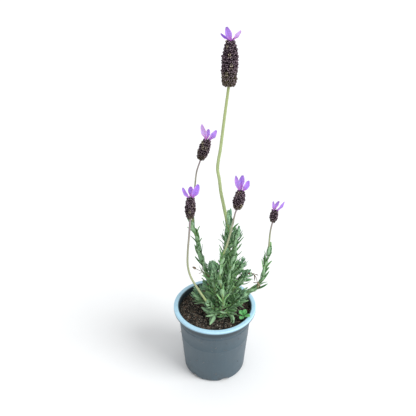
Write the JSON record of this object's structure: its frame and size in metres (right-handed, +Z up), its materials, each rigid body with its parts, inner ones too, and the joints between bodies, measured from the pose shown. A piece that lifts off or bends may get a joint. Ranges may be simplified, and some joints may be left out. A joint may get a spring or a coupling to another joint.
{
  "type": "potted spanish lavender",
  "caption": "Small lavender plant with plump dark flower spikes and violet bracts on long bare stalks, rooted in soil in a tapered round nursery pot.",
  "frame": {"origin": "middle of the pot's flat underside, on the surface that it stands on", "axes": "+Z up along the pot's axis, -Y towards the front of the plant, +X to the front's right, where the low side shoot leans out"},
  "size_m": [0.133, 0.105, 0.4576],
  "materials": {
    "pot": "slate grey-blue moulded plastic, fine satin, with a pale blue lip",
    "soil": "loose dark peat with bark pieces and pale perlite chips",
    "bark": "rough grey-brown bark",
    "leaf": "grey-green downy leaf, matt",
    "stalk": "smooth yellow-green stalk, greyish purple near the flower",
    "spike": "dark purple-brown downy scales",
    "bract": "thin violet petal with darker veins",
    "dead_stalk": "dry brown stalk",
    "seedling": "bright fresh green, slightly shiny"
  },
  "bodies": {
    "root": {"pot": "pot", "soil": "soil", "woody_crown": "bark", "tall_shoot": "leaf", "left_back_shoot": "leaf", "left_front_shoot": "leaf", "front_shoot": "leaf", "right_shoot": "leaf", "left_inner_shoot": "leaf", "middle_shoot": "leaf", "right_upper_shoot": "leaf", "right_middle_shoot": "leaf", "right_lower_shoot": "leaf", "left_middle_shoot": "leaf", "left_lower_shoot": "leaf", "front_trailing_shoot": "leaf", "drooping_shoot": "leaf", "front_right_shoot": "leaf", "back_left_shoot": "leaf", "back_shoot": "leaf", "back_right_shoot": "leaf", "right_tall_shoot": "leaf", "back_tall_shoot": "leaf", "flower_stalk_1": "stalk", "flower_stalk_2": "stalk", "flower_stalk_3": "stalk", "flower_stalk_4": "stalk", "flower_stalk_5": "stalk", "flower_spike_1": "spike", "flower_spike_2": "spike", "flower_spike_3": "spike", "flower_spike_4": "spike", "flower_spike_5": "spike", "bract_1a": "bract", "bract_1b": "bract", "bract_1c": "bract", "bract_2a": "bract", "bract_2b": "bract", "bract_2c": "bract", "bract_3a": "bract", "bract_3b": "bract", "bract_3c": "bract", "bract_4a": "bract", "bract_4b": "bract", "bract_4c": "bract", "bract_5a": "bract", "bract_5b": "bract", "bract_5c": "bract", "dead_stalk_left": "dead_stalk", "dead_stalk_right": "dead_stalk", "weed_seedling": "seedling"}
  },
  "joints": []
}
